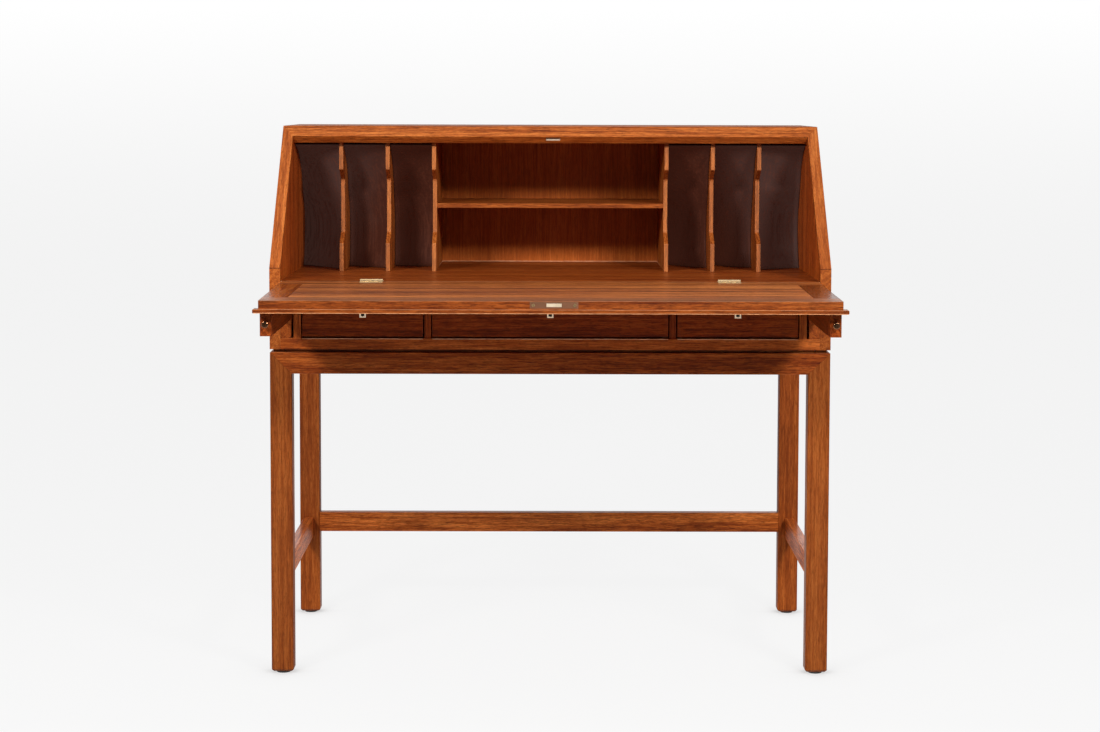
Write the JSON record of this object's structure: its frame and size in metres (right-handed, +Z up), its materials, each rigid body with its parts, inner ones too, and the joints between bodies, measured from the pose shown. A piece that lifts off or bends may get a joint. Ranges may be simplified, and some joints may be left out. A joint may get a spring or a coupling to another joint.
{
  "type": "fall-front secretary",
  "caption": "Fall-front secretary: a slanted case with a hinged writing flap on pull-out supports, drawers, pigeonholes and a shelf, on a legged frame with stretchers.",
  "frame": {"origin": "on the floor, at the middle of the box that the open desk fills", "axes": "+X to the right seen from the front, +Y towards the back, +Z up; the desk faces -Y"},
  "size_m": [1.06, 0.8804, 1.041],
  "materials": {
    "teak_upright": "oiled teak, upright grain",
    "teak_rail": "oiled teak, grain across",
    "teak_side_rail": "oiled teak, grain front to back",
    "glide": "black glide",
    "teak_shadow": "dark stained teak",
    "teak_side": "oiled teak veneer with solid lippings",
    "teak_top": "oiled teak veneer",
    "teak_stop": "oiled teak",
    "brass_strike": "aged brass",
    "teak_deck": "oiled teak veneer",
    "teak_bottom": "oiled teak",
    "teak_back": "teak veneered back",
    "teak_post": "oiled teak",
    "teak_bearer": "oiled teak",
    "teak_divider": "thin teak",
    "teak_shelf": "thin teak",
    "dark_sheet": "thin dark card",
    "teak_flap_panel": "oiled teak veneer",
    "teak_flap_rail": "oiled teak",
    "teak_flap_end": "oiled teak",
    "brass_lock": "aged brass",
    "brass_bolt": "aged brass",
    "brass_hinge": "polished brass",
    "brass_pin": "polished brass",
    "teak_loper": "oiled teak",
    "brass_knob": "polished brass",
    "teak_drawer": "oiled teak veneer",
    "drawer_wood": "waxed solid wood",
    "drawer_ply": "thin plywood",
    "brass_drawer_lock": "polished brass"
  },
  "bodies": {
    "case": {"leg_front_left": "teak_upright", "leg_front_right": "teak_upright", "leg_back_left": "teak_upright", "leg_back_right": "teak_upright", "base_rail_front": "teak_rail", "base_rail_back": "teak_rail", "base_rail_left": "teak_side_rail", "base_rail_right": "teak_side_rail", "stretcher_left": "teak_side_rail", "stretcher_right": "teak_side_rail", "stretcher_back": "teak_rail", "foot_glides": "glide", "case_spacers": "teak_shadow", "side_left": "teak_side", "side_right": "teak_side", "top_board": "teak_top", "stop_rail": "teak_stop", "strike_plate": "brass_strike", "deck": "teak_deck", "case_bottom": "teak_bottom", "back_panel": "teak_back", "loper_post_left": "teak_post", "loper_post_right": "teak_post", "drawer_partition_left": "teak_post", "drawer_partition_right": "teak_post", "loper_bearer_left": "teak_bearer", "loper_bearer_right": "teak_bearer", "inner_dividers": "teak_divider", "middle_dividers": "teak_divider", "outer_dividers": "teak_divider", "shelf": "teak_shelf", "letter_sheets": "dark_sheet", "hinge_case_leaves": "brass_hinge", "hinge_pins": "brass_pin"},
    "flap": {"flap_panel": "teak_flap_panel", "flap_front_rail": "teak_flap_rail", "flap_back_rail": "teak_flap_rail", "flap_ends": "teak_flap_end", "flap_lock": "brass_lock", "hinge_flap_leaves": "brass_hinge"},
    "lock_bolt": {"flap_bolt": "brass_bolt"},
    "loper_left": {"loper_left": "teak_loper", "loper_knob_left": "brass_knob"},
    "loper_right": {"loper_right": "teak_loper", "loper_knob_right": "brass_knob"},
    "drawer_left": {"drawer_left_front": "teak_drawer", "drawer_left_sides": "drawer_wood", "drawer_left_back": "drawer_wood", "drawer_left_bottom": "drawer_ply", "drawer_left_lock": "brass_drawer_lock"},
    "drawer_centre": {"drawer_centre_front": "teak_drawer", "drawer_centre_sides": "drawer_wood", "drawer_centre_back": "drawer_wood", "drawer_centre_bottom": "drawer_ply", "drawer_centre_lock": "brass_drawer_lock"},
    "drawer_right": {"drawer_right_front": "teak_drawer", "drawer_right_sides": "drawer_wood", "drawer_right_back": "drawer_wood", "drawer_right_bottom": "drawer_ply", "drawer_right_lock": "brass_drawer_lock"}
  },
  "joints": [
    {"name": "flap_hinge", "type": "hinge", "parent": "case", "child": "flap", "pos_m": [0, -0.09278, 0.7525], "axis": [-1, 0, 0], "range_deg": [0, 133.1]},
    {"name": "lock_bolt_slide", "type": "slide", "parent": "flap", "child": "lock_bolt", "axis": [0, -0.9999, -0.0154], "range_m": [0, 0.0075]},
    {"name": "loper_left_slide", "type": "slide", "parent": "case", "child": "loper_left", "axis": [0, 1, 0], "range_m": [0, 0.3182]},
    {"name": "loper_right_slide", "type": "slide", "parent": "case", "child": "loper_right", "axis": [0, 1, 0], "range_m": [0, 0.3182]},
    {"name": "drawer_left_slide", "type": "slide", "parent": "case", "child": "drawer_left", "axis": [0, -1, 0], "range_m": [0, 0.3]},
    {"name": "drawer_centre_slide", "type": "slide", "parent": "case", "child": "drawer_centre", "axis": [0, -1, 0], "range_m": [0, 0.3]},
    {"name": "drawer_right_slide", "type": "slide", "parent": "case", "child": "drawer_right", "axis": [0, -1, 0], "range_m": [0, 0.3]}
  ]
}
